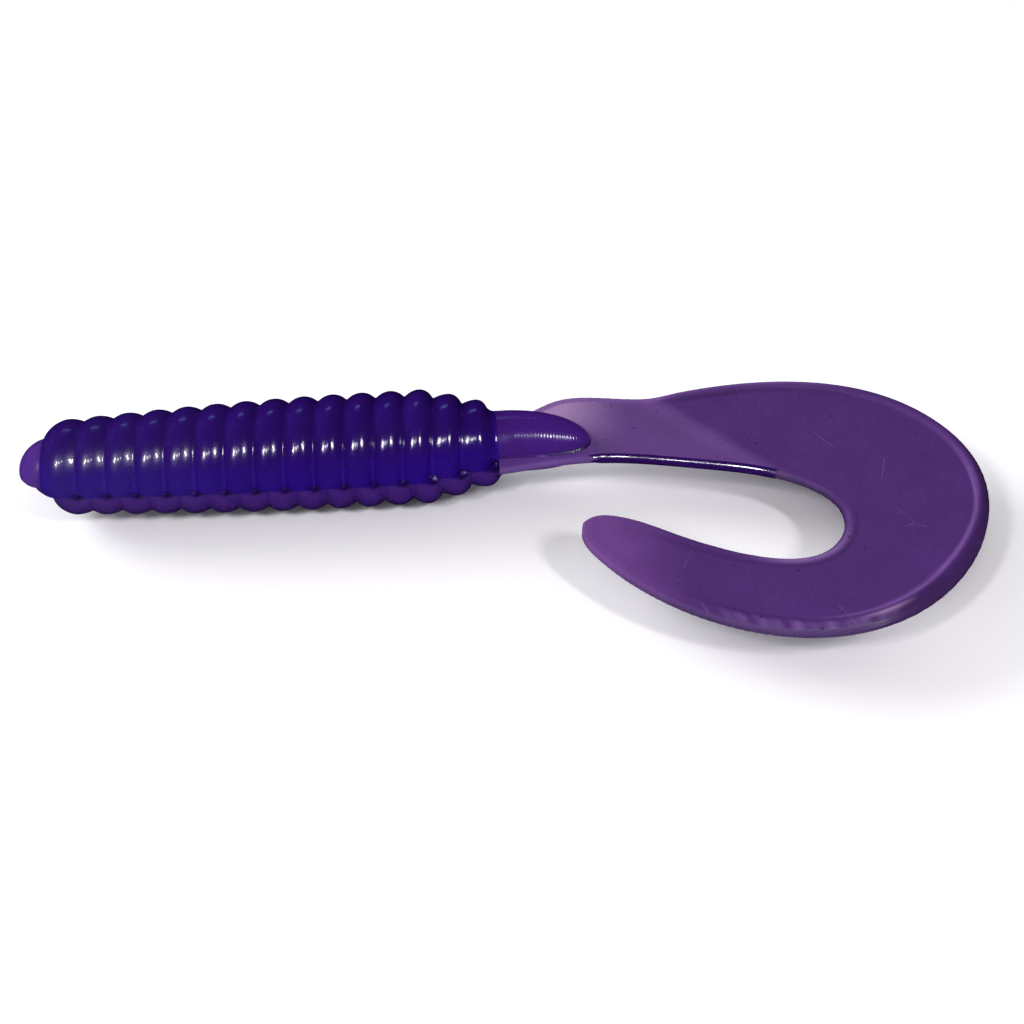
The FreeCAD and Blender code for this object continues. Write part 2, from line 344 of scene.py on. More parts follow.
# ---------------------------------------------------------------- the stalk
def make_stalk():
    """A half-bullet each side of the web, with a small cove where it runs onto the web."""
    length = STALK_END - STALK_STRAIGHT
    profile = [(NECK, 0), (NECK, STALK_RADIUS)]
    profile += [(x, STALK_RADIUS) for x in np.linspace(NECK, STALK_STRAIGHT, 9)[1:]]
    for share in np.linspace(0, 1, STALK_ROWS)[1:]:
        x = STALK_STRAIGHT + length * (1 - (1 - share) ** STALK_CROWD)
        along = (x - STALK_STRAIGHT) / length
        rib = RIB_HEIGHT * math.sin(x * 2 * math.pi / RIB_PITCH) * smooth(along * 4) * smooth((1 - along) * 6)
        profile.append((x, STALK_RADIUS * blunt(along, STALK_BLUNT) + rib))
    profile[-1] = (STALK_END, 0)
    bm = bmesh.new()
    turned(bm, profile)
    dark = []
    for vert in bm.verts:
        along = max(0.0, (vert.co.x - STALK_STRAIGHT) / length)
        towards_tip = float(rising(along, 0.3, 0.5))
        # Where shade is painted along the stalk's foot, strongest towards its tip
        dark.append(float(falling(abs(vert.co.z), FOOT_SHADE_HEIGHT, 0.35)) * (0.25 + 0.75 * towards_tip))
        foot = max(0.0, 1 - max(0.0, abs(vert.co.z) - WEB_HALF) / FOOT_RISE) ** 2
        radius = vert.co.yz.length
        if radius > 1e-3:
            shrink = 1 - STALK_NARROW * float(rising(vert.co.x, NECK, 2)) * (vert.co.y < 0)
            reach = FOOT_FLARE * foot * min(1.0, radius / 2) * float(rising(vert.co.x, NECK, 1.5))
            vert.co.y = vert.co.y * shrink + math.copysign(reach, vert.co.y)
        vert.co.y -= STALK_LEAN * along**STALK_BOW
    piece = piece_from(bm, "stalk_skin")
    store(piece, "foot", dark)
    return piece


# ---------------------------------------------------------------- the blade's outline
TAIL_LENGTH = cad_box[1][0] / MM - NECK
TAIL_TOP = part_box("blade_upper")[1].y / MM
TAIL_HEIGHT = TAIL_TOP - cad_box[0][1] / MM

TIP = (0.156, -0.539)
OUTER_EDGE = (
    (0.008, -0.118), (0.024, -0.111), (0.084, -0.071), (0.144, -0.028), (0.354, -0.040), (0.394, -0.030),
    (0.859, -0.098), (0.992, -0.353), (0.791, -0.922), (0.601, -1.000), (0.173, -0.665), (0.150, -0.577), TIP,
)
INNER_EDGE = (
    (0.002, -0.314), (0.026, -0.310), (0.193, -0.288), (0.417, -0.335), (0.553, -0.385), (0.621, -0.433),
    (0.681, -0.531), (0.674, -0.635), (0.644, -0.688), (0.327, -0.594), (0.237, -0.526), (0.177, -0.519), TIP,
)
# Lines across the blade, each from the inner edge to the outer one
STATIONS = {
    "root": ((0.002, -0.314), (0.008, -0.118)),
    "stalk": ((0.116, -0.295), (0.116, -0.048)),
    "web_seam": ((0.309, -0.304), (0.309, -0.040)),
    "diagonal": ((0.578, -0.403), (0.371, -0.036)),
    "upper_seam": ((0.658, -0.480), (0.918, -0.171)),
    "right": ((0.682, -0.537), (0.992, -0.431)),
    "bend_seam": ((0.674, -0.635), (0.924, -0.758)),
    "low": ((0.625, -0.706), (0.716, -0.972)),
    "arm_seam": ((0.513, -0.715), (0.494, -0.985)),
    "arm": ((0.377, -0.637), (0.309, -0.872)),
    "near_tip": ((0.241, -0.529), (0.184, -0.690)),
    "tip": (TIP, TIP),
}
# Rows of faces lie this far in from each edge where the blade has its nominal width
ROW_GAPS = (
    0, 0.02, 0.05, 0.1, 0.17, 0.26, 0.38, 0.52, 0.7, 0.9, 1.1,
    1.3, 1.45, 1.6, 1.75, 1.9, 2.05, 2.25, 2.6, 3.2, 4.0)
MIDDLE_ROWS = 10                  # rows between the innermost two, counting both
NOMINAL_WIDTH = 12.0


def tail_point(share):
    """A place on the tail, in millimetres, from its share of the tail's length and height."""
    return np.array((NECK + share[0] * TAIL_LENGTH, TAIL_TOP + share[1] * TAIL_HEIGHT))


def curve_through(points, count=1200):
    """Evenly spaced points of the smooth curve through a few points."""
    p = np.array(points, float)
    t = np.concatenate(([0], np.cumsum(np.linalg.norm(np.diff(p, axis=0), axis=1))))
    h, n = np.diff(t), len(p)
    rows, right = np.eye(n), np.zeros((n, 2))
    for i in range(1, n - 1):
        rows[i, i - 1:i + 2] = h[i - 1], 2 * (h[i - 1] + h[i]), h[i]
        right[i] = 6 * ((p[i + 1] - p[i]) / h[i] - (p[i] - p[i - 1]) / h[i - 1])
    bend = np.linalg.solve(rows, right)
    s = np.linspace(0, t[-1], count)
    i = np.clip(np.searchsorted(t, s, side="right") - 1, 0, n - 2)
    back, on, step = (t[i + 1] - s) / h[i], (s - t[i]) / h[i], h[i]
    shape = back[:, None] * p[i] + on[:, None] * p[i + 1]
    curl = (back**3 - back)[:, None] * bend[i] + (on**3 - on)[:, None] * bend[i + 1]
    return shape + curl * (step**2)[:, None] / 6


outer_line = curve_through([tail_point(share) for share in OUTER_EDGE])
inner_line = curve_through([tail_point(share) for share in INNER_EDGE])


def nearest_index(line, point):
    return int(np.argmin(np.linalg.norm(line - point, axis=1)))


station_marks = {
    name: (nearest_index(inner_line, tail_point(inner)), nearest_index(outer_line, tail_point(outer)))
    for name, (inner, outer) in STATIONS.items()
}
station_names = list(STATIONS)


def on_line(line, index):
    """The place at a mark on a line, where the mark may fall between two of its points."""
    low = int(min(max(index, 0), len(line) - 2))
    return line[low] + (line[low + 1] - line[low]) * (index - low)


def gap_to(line, points):
    """Distance from each point to an edge of the blade."""
    gaps = np.full(len(points), 1e9)
    for start in range(0, len(line), 200):
        part = line[start:start + 200]
        gaps = np.minimum(gaps, np.linalg.norm(points[:, None, :] - part[None, :, :], axis=2).min(axis=1))
    return gaps


BEAD_NARROW = 0.7                 # the outer bead's width along the far side of the curl, as a share
WAVE_HEIGHT = 0.06
STREAK_HEIGHT = 0.02
STREAKS = 19.0                    # fine cross streaks on the rolled inner edge, as radians per millimetre
RIM_WAVES = (2.1, 3.7)            # slower waves in the lower arm's rim, likewise
ROLL_MIDDLE = 0.6                 # the roll's middle is this far in from the inner edge
MID_OPENING = -10.0               # the curl's two arms lie either side of this y
LOWER_RIM = -20.0                 # only the lower arm's outer rim lies beyond this y

# Colours of the web and blade, dyes and painted light: the pale colour is also a painted highlight, the
# strip's colour a painted glow, the bead's colour painted shade that also darkens the cut edge, the line's
# colour painted light and the roll's colour a painted reflection and sheen
PALE_TINT_AND_HIGHLIGHT = (0.300, 0.185, 0.350)
BAND_DYE = (0.109, 0.048, 0.185)
WEB_DYE = (0.096, 0.041, 0.170)
STRIP_PAINTED_GLOW = (0.100, 0.036, 0.215)
BLADE_DYE = (0.063, 0.022, 0.130)
SHADE_AND_DARK_EDGE = (0.042, 0.014, 0.085)
PAINTED_LIGHT_LINE = (0.140, 0.062, 0.235)
PAINTED_SHEEN = (0.200, 0.110, 0.300)
TIP_DYE = (0.126, 0.043, 0.198)

DIAGONAL_START = np.array((69.0, 5.9))
DIAGONAL_END = np.array((80.4, -7.6))


def past_diagonal(points):
    """How far each point is beyond the line where the blade's panel begins."""
    along = (DIAGONAL_END - DIAGONAL_START) / np.linalg.norm(DIAGONAL_END - DIAGONAL_START)
    return (points - DIAGONAL_START) @ np.array((-along[1], along[0]))


def bead(section, gap):
    """Height of an edge bead above the panel at a distance in from the edge."""
    line = curve_through(section, 400)
    return np.interp(gap, line[:, 0], line[:, 1])


def bead_width(y):
    """The outer bead is wider along the near side of the curl than along its far side."""
    return BEAD_NARROW + (1 - BEAD_NARROW) * falling(y, -14, 12)


def rim_waves(x):
    """The two waves that the mould left in the lower arm's rim."""
    return np.sin(x * RIM_WAVES[0]) + np.sin(x * RIM_WAVES[1] + 1)


def blade_half(points):
    """Half the blade's thickness at each point: panel, beads along its edges, and its rounded edge."""
    out, inn = gap_to(outer_line, points), gap_to(inner_line, points)
    panel = WEB_HALF + (BLADE_HALF - WEB_HALF) * smooth(past_diagonal(points) / DIAGONAL_SOFT + 0.5)
    x, y = points[:, 0], points[:, 1]
    # The outer bead starts past the stalk and runs out along the lower arm
    on_upper, on_lower = rising(x, 67.5, 5), 0.12 + 0.88 * rising(x, 66, 14)
    outer_on = np.where(y > -12, on_upper, on_lower)
    # The inner bead starts past the keel and is full only along the lower arm
    inner_on = np.where((y > -9.5) & (x < 82), rising(x, 79, 3), 1) * rising(x, 60, 6)
    inner_on = inner_on * (0.1 + 0.9 * falling(y, -15, 3) * falling(x, 88.5, 4))
    rim = bead(OUTER_BEAD, out / bead_width(y)) * outer_on + bead(INNER_BEAD, inn) * inner_on
    waves = WAVE_HEIGHT * rim_waves(x) * ridge(out, 1.1, 1.1)
    waves = waves * rising(x, 69, 3) * falling(x, 84, 3) * (y < LOWER_RIM)
    streaks = STREAK_HEIGHT * np.sin(x * STREAKS) * ridge(inn, ROLL_MIDDLE, ROLL_MIDDLE) * (y < -14)
    edge = np.sqrt(1 - (1 - np.clip(np.minimum(out, inn) / EDGE_ROUND, 0, 1)) ** 2)
    full = np.maximum(EDGE_HALF, panel + rim + waves + streaks)
    return EDGE_HALF + (full - EDGE_HALF) * edge


def blade_colour(points):
    """Colour at each point: paler where the plastic is thin, pinker at the tip, a painted glow under the
    stalk, and painted light, shade and a highlight along the rims.
    """
    x, y = points[:, 0], points[:, 1]
    out, inn = gap_to(outer_line, points), gap_to(inner_line, points)
    past = past_diagonal(points)
    colour = np.tile(np.array(BLADE_DYE), (len(points), 1))

    def lay(dye, share):
        nonlocal colour
        colour = colour + (np.array(dye) - colour) * share[:, None]

    # The web, the band along the diagonal, the thin corner by the stalk, a painted glow on the strip under
    # the stalk, and the tip
    on_web = rising(y, -10, 1.5) * falling(x, 85, 3)
    lay(WEB_DYE, smooth(0.5 - past / DIAGONAL_SOFT) * on_web)
    lay(BAND_DYE, 0.8 * ridge(past, -1.3, 1.3) * on_web)
    lay(PALE_TINT_AND_HIGHLIGHT, falling(x, 66.5, 9) * rising(y, -3, 8))
    lay(STRIP_PAINTED_GLOW, falling(x, 63, 3) * falling(y, -1.5, 2) * (y > -9))
    lay(TIP_DYE, falling(x, 70, 11) * (y < MID_OPENING))
    # Painted reflection on the rolled inner edge of the lower arm, and a line of painted shade behind it
    low = falling(y, -13, 3)
    lay(SHADE_AND_DARK_EDGE, 0.5 * ridge(inn, 1.25, 0.5) * rising(x, 64, 6) * low)
    roll = ridge(inn, ROLL_MIDDLE, ROLL_MIDDLE) * rising(x, 74, 6) * falling(x, 88, 4) * low
    lay(PAINTED_SHEEN, roll * (0.75 + 0.25 * np.sin(x * STREAKS)))
    # The outer rim: a painted light line and a band of painted shade round the near side, the other way about
    # along the far side
    near_side = falling(y, -2, 10)
    out = out / bead_width(y)
    lay(PAINTED_LIGHT_LINE, ridge(out, 2.0, 0.5) * rising(x, 78, 8) * (0.2 + 0.8 * near_side))
    lay(SHADE_AND_DARK_EDGE, falling(out, 1.7, 0.4) * rising(x, 82, 8) * (0.3 + 0.7 * near_side))
    lay(SHADE_AND_DARK_EDGE, 0.7 * ridge(out, 2.3, 0.6) * falling(x, 94, 6) * rising(x, 70, 4) * (y > 0))
    lay(PAINTED_LIGHT_LINE, 0.8 * falling(out, 1.6, 0.5) * falling(x, 94, 8) * (y > 0))
    # Painted sheen in patches along the lower arm's rim waves, and one painted highlight streak in it
    rim_sheen = ridge(out, 0.8, 0.7) * rising(x, 69, 3) * falling(x, 90, 3) * (y < LOWER_RIM)
    lay(PAINTED_SHEEN, rim_sheen * np.clip(0.12 + 0.12 * rim_waves(x) + 0.012 * (x - 70), 0, 1))
    lay(PALE_TINT_AND_HIGHLIGHT, 0.75 * ridge(out, 1.2, 0.4) * ridge(x, 87.5, 4) * (y < LOWER_RIM))
    # The cut edge is dark, less so along the lower arm's outer side
    edge = falling(np.minimum(inn, out), 0.25, 0.2) * rising(x, 60, 3)
    lay(SHADE_AND_DARK_EDGE, edge * np.where((y < MID_OPENING) & (out < inn), 0.35, 0.8))
    return np.concatenate((colour, np.ones((len(points), 1))), axis=1)


def dull_edge(points):
    """How dull each point is: the cut edge is matt, except round the end of the curl."""
    out, inn = gap_to(outer_line, points), gap_to(inner_line, points)
    return falling(np.minimum(out, inn), 0.6, 0.35) * falling(points[:, 0], 88, 4)


def blade_length(name, first, last, steps):
    """A closed length of the blade, from one station to another, with equal faces above and below."""
    low, high = station_names.index(first), station_names.index(last)
    rows = [gap / NOMINAL_WIDTH for gap in ROW_GAPS]
    rows += list(np.linspace(rows[-1], 1 - rows[-1], MIDDLE_ROWS)[1:-1]) + [1 - row for row in rows[::-1]]
    bm = bmesh.new()
    bmesh.ops.create_grid(bm, x_segments=steps, y_segments=len(rows) - 1, size=1)
    places = np.zeros((len(bm.verts), 2))
    for number, vert in enumerate(bm.verts):
        along = low + (vert.co.x + 1) / 2 * (high - low)
        across = rows[round((vert.co.y + 1) / 2 * (len(rows) - 1))]
        base = min(int(along + 1e-6), high - 1)
        inner_mark, outer_mark = (
            station_marks[station_names[base]][k] * (1 - along + base)
            + station_marks[station_names[base + 1]][k] * (along - base) for k in (0, 1))
        inner_place, outer_place = on_line(inner_line, inner_mark), on_line(outer_line, outer_mark)
        places[number] = inner_place * (1 - across) + outer_place * across
    halves = blade_half(places)
    for vert, place, half in zip(bm.verts, places, halves):
        vert.co = (place[0], place[1], half)
    made = bmesh.ops.extrude_face_region(bm, geom=bm.faces[:])
    for vert in made["geom"]:
        if isinstance(vert, bmesh.types.BMVert):
            vert.co.z = -vert.co.z
    bmesh.ops.remove_doubles(bm, verts=bm.verts, dist=1e-3)
    piece = piece_from(bm, name, sharp_angle=50)
    finished = np.array([vert.co.xy for vert in piece.data.vertices]) / MM
    # The stored colour holds painted light and shade as well as dye
    store(piece, "dye", blade_colour(finished).ravel(), "FLOAT_COLOR", "color")
    store(piece, "dull", dull_edge(finished))
    return piece


# ---------------------------------------------------------------- the keel
def keel_bar(name, start_x, end_x, steps):
    """A bar with soft corners along the web's inner edge, closed square at its ends."""
    root = inner_line[:nearest_index(inner_line, tail_point(STATIONS["upper_seam"][0]))]
    bm = bmesh.new()
    bmesh.ops.create_grid(bm, x_segments=steps, y_segments=KEEL_SIDES, size=1)
    for vert in bm.verts:
        x = start_x + (vert.co.x + 1) / 2 * (end_x - start_x)
        mark = int(np.searchsorted(root[:, 0], x))
        tangent = root[mark] - root[mark - 1]
        foot = root[mark - 1] + tangent * (x - root[mark - 1][0]) / (root[mark][0] - root[mark - 1][0])
        tangent = tangent / np.linalg.norm(tangent)
        angle = (vert.co.y + 1) * math.pi
        across = math.copysign(abs(math.cos(angle)) ** KEEL_FLAT, math.cos(angle)) * KEEL_HALF_WIDTH
        up = math.copysign(abs(math.sin(angle)) ** KEEL_FLAT, math.sin(angle)) * KEEL_HALF_HEIGHT
        small, rise = KEEL_RISE
        front_size = small + (1 - small) * math.sin(min(1.0, (x - start_x) / rise) * math.pi / 2)
        grown = 1 if start_x > KEEL_START else front_size
        side = foot + np.array((-tangent[1], tangent[0])) * (KEEL_HALF_WIDTH - KEEL_PROUD + across * grown)
        vert.co = (side[0], side[1], up * grown)
    bmesh.ops.remove_doubles(bm, verts=bm.verts, dist=1e-4)
    bmesh.ops.holes_fill(bm, edges=bm.edges)
    return piece_from(bm, name)


# ---------------------------------------------------------------- materials
CLOUD_AMOUNT = 0.1
BUMP_STRENGTH = 0.1
BUMP_DEPTH = 0.00006              # metres
# Heights on the body in metres where its painted light and shade change, each as (where a change starts,
# where it is full)
TOP_TO_FLANK = (0.0046, 0.0012)
FLANK_TO_UNDER = (0.0001, -0.0003)
GROOVE_FROM_TOP, GROOVE_FROM_BASE = (0.0042, 0.0022), (-0.0042, -0.0015)
LINE_FROM_TOP, LINE_FROM_BASE = (0.0003, 0.0001), (-0.0007, -0.0002)


def plain_material(name, roughness, coat=0.0):
    material = bpy.data.materials.new(name)
    material.use_nodes = True
    shader = material.node_tree.nodes["Principled BSDF"]
    shader.inputs["Roughness"].default_value = roughness
    shader.inputs["Coat Weight"].default_value = coat
    shader.inputs["Coat Roughness"].default_value = 0.06
    shader.inputs["IOR"].default_value = 1.5
    return material, shader


def new_group(name, inputs, outputs):
    group = bpy.data.node_groups.new(name, "ShaderNodeTree")
    for label, kind, value in inputs:
        socket = group.interface.new_socket(label, in_out="INPUT", socket_type=kind)
        socket.default_value = value
    for label, kind in outputs:
        group.interface.new_socket(label, in_out="OUTPUT", socket_type=kind)
    return group, group.nodes.new("NodeGroupInput"), group.nodes.new("NodeGroupOutput")


def node(tree, kind, settings=(), **values):
    made = tree.nodes.new(kind)
    for key, value in settings:
        setattr(made, key, value)
    for key, value in values.items():
        made.inputs[key.replace("_", " ")].default_value = value
    return made


def math_node(tree, operation, first, second):
    made = tree.nodes.new("ShaderNodeMath")
    made.operation = operation
    for socket, value in zip(made.inputs, (first, second)):
        if isinstance(value, (int, float)):
            socket.default_value = value
        else:
            tree.links.new(value, socket)
    return made.outputs[0]


def blend_colours(tree, factor, first, second):
    made = tree.nodes.new("ShaderNodeMix")
    made.data_type = "RGBA"
    for socket, value in ((made.inputs[0], factor), (made.inputs[6], first), (made.inputs[7], second)):
        if isinstance(value, (tuple, float, int)):
            socket.default_value = value
        else:
            tree.links.new(value, socket)
    return made.outputs[2]


def ramp(tree, value, low, high):
    """Eases from 0 at low to 1 at high, and low may be the larger of the two."""
    made = tree.nodes.new("ShaderNodeMapRange")
    made.interpolation_type = "SMOOTHSTEP"
    made.inputs["From Min"].default_value = low
    made.inputs["From Max"].default_value = high
    tree.links.new(value, made.inputs["Value"])
    return made.outputs[0]


def skin_group():
    """Cast skin: fine grain, slow waves left by the mould, and tiny pits."""
    group, source, sink = new_group(
        "cast_skin",
        (("Vector", "NodeSocketVector", (0, 0, 0)), ("Grain", "NodeSocketFloat", 1.0),
         ("Waves", "NodeSocketFloat", 1.0), ("Pits", "NodeSocketFloat", 1.0),
         ("Gloss", "NodeSocketFloat", 0.15)),
        (("Height", "NodeSocketFloat"), ("Roughness", "NodeSocketFloat"), ("Pit Mask", "NodeSocketFloat")))
    link = group.links.new
    grain = node(group, "ShaderNodeTexNoise", Scale=5200.0, Detail=3.0, Roughness=0.6)
    waves = node(group, "ShaderNodeTexNoise", Scale=700.0, Detail=2.0, Roughness=0.5)
    cells = node(group, "ShaderNodeTexVoronoi", Scale=800.0, Randomness=1.0)
    patches = node(group, "ShaderNodeTexNoise", Scale=260.0, Detail=3.0)
    for texture in (grain, waves, cells, patches):
        link(source.outputs["Vector"], texture.inputs["Vector"])
    near = math_node(group, "SUBTRACT", 1.0, ramp(group, cells.outputs["Distance"], 0.06, 0.14))
    rare = ramp(group, patches.outputs["Fac"], 0.49, 0.57)
    pit = math_node(group, "MULTIPLY", math_node(group, "MULTIPLY", near, rare), source.outputs["Pits"])
    height = math_node(group, "MULTIPLY", grain.outputs["Fac"], source.outputs["Grain"])
    slow = math_node(group, "MULTIPLY", waves.outputs["Fac"], source.outputs["Waves"])
    height = math_node(group, "ADD", height, math_node(group, "MULTIPLY", slow, 4.0))
    height = math_node(group, "SUBTRACT", height, math_node(group, "MULTIPLY", pit, 3.0))
    link(height, sink.inputs["Height"])
    rough = math_node(group, "MULTIPLY", patches.outputs["Fac"], 0.16)
    link(math_node(group, "ADD", rough, source.outputs["Gloss"]), sink.inputs["Roughness"])
    link(pit, sink.inputs["Pit Mask"])
    return group


def clouds_group():
    """Dyed soft plastic: slow clouds and drifts of dye, and dark specks in the pits."""
    group, source, sink = new_group(
        "dye_clouds",
        (("Vector", "NodeSocketVector", (0, 0, 0)), ("Color", "NodeSocketColor", (0, 0, 0, 1)),
         ("Specks", "NodeSocketFloat", 0.0), ("Amount", "NodeSocketFloat", 0.2)),
        (("Color", "NodeSocketColor"),))
    link = group.links.new
    clouds = node(group, "ShaderNodeTexNoise", Scale=150.0, Detail=3.0, Roughness=0.5)
    fine = node(group, "ShaderNodeTexNoise", Scale=2600.0, Detail=2.0, Roughness=0.6)
    for texture in (clouds, fine):
        link(source.outputs["Vector"], texture.inputs["Vector"])
    both = math_node(group, "ADD", clouds.outputs["Fac"], fine.outputs["Fac"])
    drift = math_node(group, "MULTIPLY", math_node(group, "SUBTRACT", both, 1.0), source.outputs["Amount"])
    value = math_node(group, "ADD", math_node(group, "MULTIPLY", drift, 4.0), 1.0)
    hue = node(group, "ShaderNodeHueSaturation")
    link(source.outputs["Color"], hue.inputs["Color"])
    link(value, hue.inputs["Value"])
    dark = math_node(group, "MULTIPLY", source.outputs["Specks"], 0.75)
    link(blend_colours(group, dark, hue.outputs["Color"], (0.008, 0.001, 0.03, 1)), sink.inputs["Color"])
    return group


def hairline_group():
    """A few long fine scratches from handling."""
    group, source, sink = new_group(
        "hairlines", (("Vector", "NodeSocketVector", (0, 0, 0)), ("Amount", "NodeSocketFloat", 0.5)),
        (("Mask", "NodeSocketFloat"),))
    link = group.links.new
    wander = node(group, "ShaderNodeTexNoise", Scale=80.0, Detail=1.0)
    link(source.outputs["Vector"], wander.inputs["Vector"])
    shifted = node(group, "ShaderNodeVectorMath", settings=(("operation", "MULTIPLY_ADD"),))
    link(wander.outputs["Color"], shifted.inputs[0])
    shifted.inputs[1].default_value = (0.005, 0.005, 0.005)
    link(source.outputs["Vector"], shifted.inputs[2])
    lines = node(group, "ShaderNodeTexVoronoi", settings=(("feature", "DISTANCE_TO_EDGE"),), Scale=85.0)
    link(shifted.outputs[0], lines.inputs["Vector"])
    broken = node(group, "ShaderNodeTexNoise", Scale=210.0, Detail=3.0)
    link(source.outputs["Vector"], broken.inputs["Vector"])
    thin = ramp(group, lines.outputs["Distance"], 0.006, 0.001)
    mask = math_node(group, "MULTIPLY", thin, ramp(group, broken.outputs["Fac"], 0.56, 0.64))
    link(math_node(group, "MULTIPLY", mask, source.outputs["Amount"]), sink.inputs["Mask"])
    return group


cast_skin = skin_group()
hairlines = hairline_group()
dye_clouds = clouds_group()


def use_group(tree, group, **values):
    made = tree.nodes.new("ShaderNodeGroup")
    made.node_tree = group
    for key, value in values.items():
        made.inputs[key.replace("_", " ")].default_value = value
    return made


def soft_plastic(name, base, grain=1.0, gloss=0.12, frost=None, coat=0.0, scratches=0.0):
    """A dyed plastisol. base gives its colour socket; frost gives a socket that is added to its roughness."""
    material, shader = plain_material(name, gloss, coat)
    tree = material.node_tree
    place = node(tree, "ShaderNodeAttribute", settings=(("attribute_name", "rest"),)).outputs["Vector"]
    skin = use_group(tree, cast_skin, Grain=grain, Gloss=gloss)
    cloud = use_group(tree, dye_clouds, Amount=CLOUD_AMOUNT)
    for group in (skin, cloud):
        tree.links.new(place, group.inputs["Vector"])
    tree.links.new(base(tree, place), cloud.inputs["Color"])
    tree.links.new(skin.outputs["Pit Mask"], cloud.inputs["Specks"])
    colour = cloud.outputs["Color"]
    height = skin.outputs["Height"]
    if scratches:
        lines = use_group(tree, hairlines, Amount=scratches)
        tree.links.new(place, lines.inputs["Vector"])
        colour = blend_colours(tree, lines.outputs["Mask"], colour, (0.24, 0.16, 0.36, 1))
        height = math_node(tree, "SUBTRACT", height, math_node(tree, "MULTIPLY", lines.outputs["Mask"], 2.0))
    tree.links.new(colour, shader.inputs["Base Color"])
    rough = skin.outputs["Roughness"]
    if frost:
        rough = math_node(tree, "ADD", rough, frost(tree, place))
    tree.links.new(rough, shader.inputs["Roughness"])
    bumped = node(tree, "ShaderNodeBump", Strength=BUMP_STRENGTH, Distance=BUMP_DEPTH)
    tree.links.new(height, bumped.inputs["Height"])
    tree.links.new(bumped.outputs["Normal"], shader.inputs["Normal"])
    return material


def stored_value(tree, name):
    """A value that the mesh keeps at each of its points."""
    return node(tree, "ShaderNodeAttribute", settings=(("attribute_name", name),)).outputs["Fac"]


def axis_value(tree, place, axis):
    split = tree.nodes.new("ShaderNodeSeparateXYZ")
    tree.links.new(place, split.inputs[0])
    return split.outputs[axis]


def body_colour_with_painted_light(top, flank, under):
    """One colour on top, one down the flank and one below the parting line: painted shade darkens the top and
    a painted glow lights the flank. Painted light lines lie in the grooves, painted shadow under the mould
    step and painted shade at the stalk's foot.
    """
    def build(tree, place):
        height = axis_value(tree, place, 2)
        # Painted shade on top and a painted glow down the flank
        colour = blend_colours(tree, ramp(tree, height, *TOP_TO_FLANK), (*top, 1), (*flank, 1))
        colour = blend_colours(tree, ramp(tree, height, *FLANK_TO_UNDER), colour, (*under, 1))
        groove, ledge_shadow = stored_value(tree, "groove"), stored_value(tree, "ledge_shadow")
        below_top, above_base = ramp(tree, height, *GROOVE_FROM_TOP), ramp(tree, height, *GROOVE_FROM_BASE)
        low = math_node(tree, "MULTIPLY", below_top, above_base)
        # Painted light lines in the grooves, between the top and the base
        thin = math_node(tree, "MULTIPLY", math_node(tree, "MULTIPLY", groove, low), 0.22)
        pale = tuple(value * 2.4 + 0.012 for value in flank)
        colour = blend_colours(tree, thin, colour, (*pale, 1))
        # Painted shadow under the mould step, in a band along the parting line
        line = math_node(
            tree, "MULTIPLY", ramp(tree, height, *LINE_FROM_TOP), ramp(tree, height, *LINE_FROM_BASE))
        # Painted shade at the stalk's foot, where it meets the web
        foot = stored_value(tree, "foot")
        dark = math_node(tree, "MULTIPLY", math_node(tree, "MULTIPLY", line, ledge_shadow), 0.9)
        dark = math_node(tree, "ADD", dark, math_node(tree, "MULTIPLY", foot, 0.85))
        return blend_colours(tree, dark, colour, (0.006, 0.0006, 0.03, 1))
    return build


def stored_dye_and_light(tree, place):
    """The colour that the blade's mesh keeps at each of its points: dye, with painted light and shade."""
    return node(tree, "ShaderNodeAttribute", settings=(("attribute_name", "dye"),)).outputs["Color"]


def front_frost(tree, place):
    """The front of the body came off the mould duller than its rear."""
    along = axis_value(tree, place, 0)
    return math_node(tree, "MULTIPLY", ramp(tree, along, 0.036, 0.004), 0.15)


def foot_frost(tree, place):
    """The cove where the stalk meets the web is dull."""
    return math_node(tree, "MULTIPLY", stored_value(tree, "foot"), 0.15)


def edge_frost(tree, place):
    """The blade's cut edge is dull."""
    return math_node(tree, "MULTIPLY", stored_value(tree, "dull"), 0.45)


# The body, nose, stalk and keel get painted shade on top and a painted glow down the flank
body_plastic = soft_plastic(
    "indigo_body", body_colour_with_painted_light((0.018, 0.003, 0.100), (0.016, 0.0016, 0.155), (0.046, 0.013, 0.155)),
    grain=2.5, gloss=0.06, frost=front_frost, coat=0.6)
nose_plastic = soft_plastic(
    "violet_nose", body_colour_with_painted_light((0.053, 0.014, 0.160), (0.055, 0.014, 0.190), (0.048, 0.012, 0.150)),
    grain=2.0, gloss=0.26, coat=0.3)
stalk_plastic = soft_plastic(
    "violet_stalk", body_colour_with_painted_light((0.036, 0.006, 0.125), (0.048, 0.009, 0.17), (0.06, 0.018, 0.16)),
    grain=1.5, gloss=0.13, frost=foot_frost, coat=0.35)
blade_plastic = soft_plastic("purple_blade", stored_dye_and_light, gloss=0.2, frost=edge_frost, scratches=0.25)
keel_plastic = soft_plastic(
    "dark_keel", body_colour_with_painted_light((0.022, 0.003, 0.075), (0.022, 0.003, 0.085), (0.03, 0.006, 0.10)),
    gloss=0.04, coat=1.0)
keel_shader = keel_plastic.node_tree.nodes["Principled BSDF"]
keel_shader.inputs["Coat IOR"].default_value = 2.3
keel_shader.inputs["Coat Roughness"].default_value = 0.1


# ---------------------------------------------------------------- assembly
def settle(piece, material):
    piece.data.materials.append(material)


